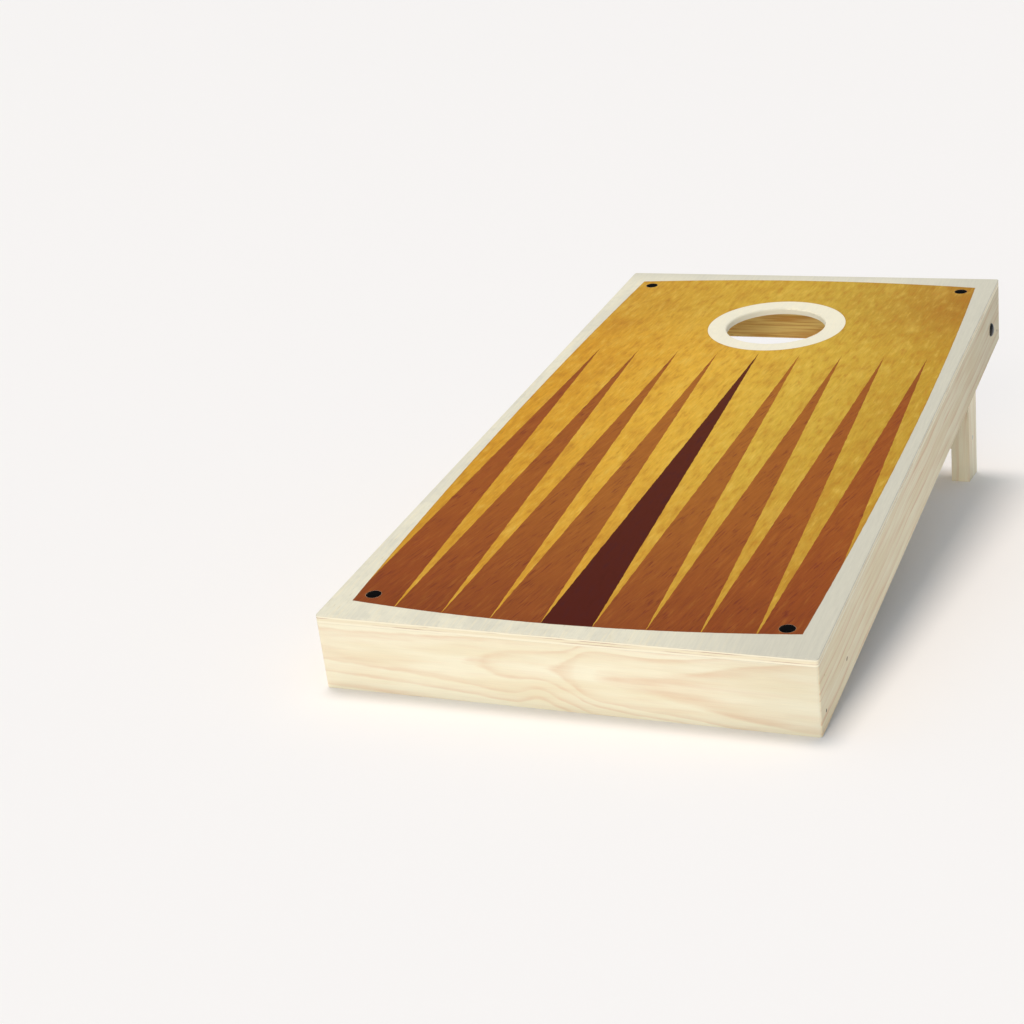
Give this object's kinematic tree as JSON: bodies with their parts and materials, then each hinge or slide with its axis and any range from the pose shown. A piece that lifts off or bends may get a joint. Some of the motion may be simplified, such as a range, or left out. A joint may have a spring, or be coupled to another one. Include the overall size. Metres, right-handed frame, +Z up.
{
  "type": "cornhole board",
  "caption": "Tilted wooden bag-toss board: printed plywood deck with a round bag hole, mitred pine frame, and rear legs that fold up inside once their wing nuts are loosened.",
  "frame": {"origin": "on the surface that the board stands on, under the centre of its overall box", "axes": "+Z up, +Y from the low front edge to the raised bag-hole end, +X to the right as seen by a player at the low end"},
  "size_m": [0.6196, 1.2166, 0.3193],
  "materials": {
    "printed_plywood": "satin printed wood with raw plywood border and edges",
    "pine_rail": "sanded pine, thin clear coat",
    "pine_leg": "sanded pine, thin clear coat",
    "pine_inner": "planed pine, unfinished",
    "black_rubber": "matt moulded rubber",
    "black_steel": "black zinc plated steel",
    "zinc_steel": "bright zinc plated steel"
  },
  "bodies": {
    "root": {"deck": "printed_plywood", "front_rail": "pine_rail", "rear_rail": "pine_rail", "right_rail": "pine_rail", "left_rail": "pine_rail", "centre_brace": "pine_inner", "front_left_corner_block": "pine_inner", "front_right_corner_block": "pine_inner", "rear_left_stop_block": "pine_inner", "rear_right_stop_block": "pine_inner", "front_left_bumper": "black_rubber", "front_right_bumper": "black_rubber", "rear_left_bumper": "black_rubber", "rear_right_bumper": "black_rubber", "left_pivot_bolt": "black_steel", "left_spacer_washer": "black_steel", "right_pivot_bolt": "black_steel", "right_spacer_washer": "black_steel", "deck_screws": "zinc_steel", "brace_screws": "zinc_steel", "block_screws": "zinc_steel", "mitre_nails": "zinc_steel"},
    "leg_frame": {"left_leg": "pine_leg", "right_leg": "pine_leg", "leg_crossbar": "pine_leg", "crossbar_screws": "zinc_steel"},
    "left_nut_carrier": {"left_nut_washer": "black_steel"},
    "left_nut": {"left_wing_nut": "black_steel"},
    "right_nut_carrier": {"right_nut_washer": "black_steel"},
    "right_nut": {"right_wing_nut": "black_steel"}
  },
  "joints": [
    {"name": "leg_fold", "type": "hinge", "parent": "root", "child": "leg_frame", "pos_m": [0, 0.51914, 0.25084], "axis": [-1, 0, 0], "range_deg": [0, 92]},
    {"name": "left_nut_travel", "type": "slide", "parent": "root", "child": "left_nut_carrier", "axis": [1, 0, 0], "range_m": [0, 0.00327]},
    {"name": "left_nut_turn", "type": "hinge", "parent": "left_nut_carrier", "child": "left_nut", "pos_m": [-0.2434, 0.51914, 0.25084], "axis": [1, 0, 0], "range_deg": [0, 720]},
    {"name": "right_nut_travel", "type": "slide", "parent": "root", "child": "right_nut_carrier", "axis": [-1, 0, 0], "range_m": [0, 0.00327]},
    {"name": "right_nut_turn", "type": "hinge", "parent": "right_nut_carrier", "child": "right_nut", "pos_m": [0.2434, 0.51914, 0.25084], "axis": [-1, 0, 0], "range_deg": [0, 720]}
  ],
  "couplings": [
    {"joint": "left_nut_travel", "follows": "left_nut_turn", "m_per_rad": 0.00025266},
    {"joint": "right_nut_travel", "follows": "right_nut_turn", "m_per_rad": 0.00025266}
  ]
}
